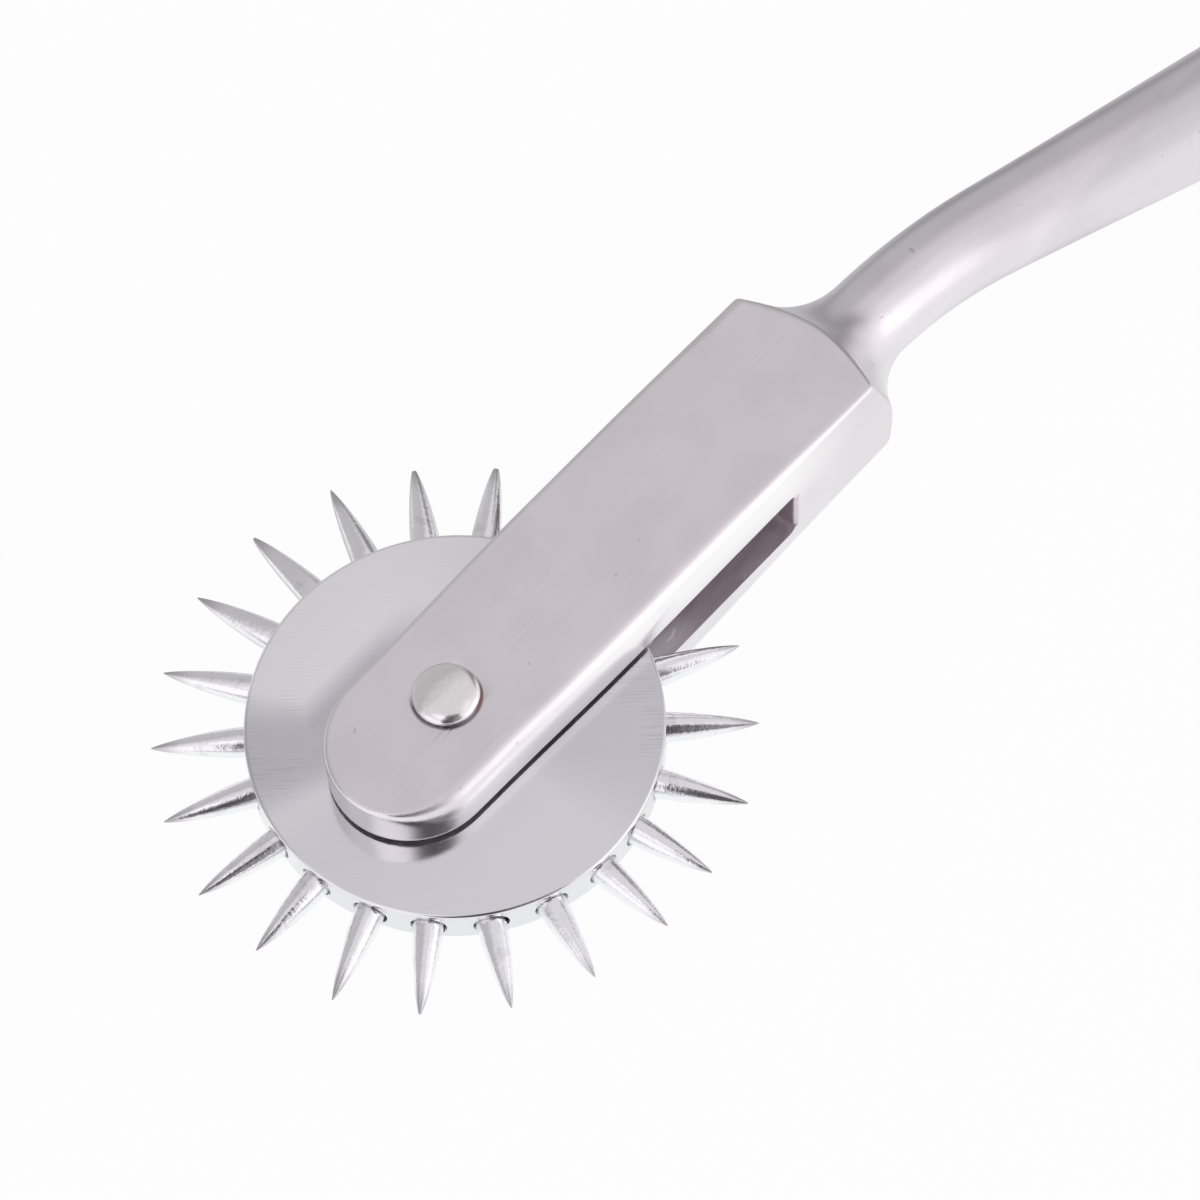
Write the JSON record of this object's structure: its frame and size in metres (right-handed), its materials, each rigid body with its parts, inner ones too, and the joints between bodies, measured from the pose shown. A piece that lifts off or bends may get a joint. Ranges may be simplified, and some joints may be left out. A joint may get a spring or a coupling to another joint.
{
  "type": "neurological pinwheel",
  "caption": "Hand-held pinwheel for testing skin sensation: a disc set with radial pins spins between the cheeks of a fork on a slim bent handle.",
  "frame": {"origin": "middle of the part's bounding box in X and Y, at the height of its lowest point, the lower rivet head", "axes": "+Z along the wheel's axle, +X from the wheel along the fork towards the handle; the handle bends towards -Y"},
  "size_m": [0.1886, 0.0598, 0.0102],
  "materials": {
    "satin_steel": "satin nickel-like steel with fine lengthwise polishing lines",
    "polished_steel": "finely polished steel with faint straight polishing marks",
    "turned_steel": "turned steel",
    "pin_steel": "bright polished steel",
    "rivet_steel": "bright, slightly warm peened steel"
  },
  "bodies": {
    "handle": {"fork_head": "satin_steel", "handle_shell": "satin_steel", "tail_plug": "satin_steel", "axle_rivet": "rivet_steel", "washer_upper": "turned_steel", "washer_lower": "turned_steel"},
    "wheel": {"wheel_disc": "polished_steel", "pin_01": "pin_steel", "pin_02": "pin_steel", "pin_03": "pin_steel", "pin_04": "pin_steel", "pin_05": "pin_steel", "pin_06": "pin_steel", "pin_07": "pin_steel", "pin_08": "pin_steel", "pin_09": "pin_steel", "pin_10": "pin_steel", "pin_11": "pin_steel", "pin_12": "pin_steel", "pin_13": "pin_steel", "pin_14": "pin_steel", "pin_15": "pin_steel", "pin_16": "pin_steel", "pin_17": "pin_steel", "pin_18": "pin_steel", "pin_19": "pin_steel", "pin_20": "pin_steel", "pin_21": "pin_steel", "pin_22": "pin_steel"}
  },
  "joints": [
    {"name": "wheel_spin", "type": "hinge", "parent": "handle", "child": "wheel", "pos_m": [-0.07931, 0.01492, 0.0054], "axis": [0, 0, 1], "continuous": true}
  ]
}
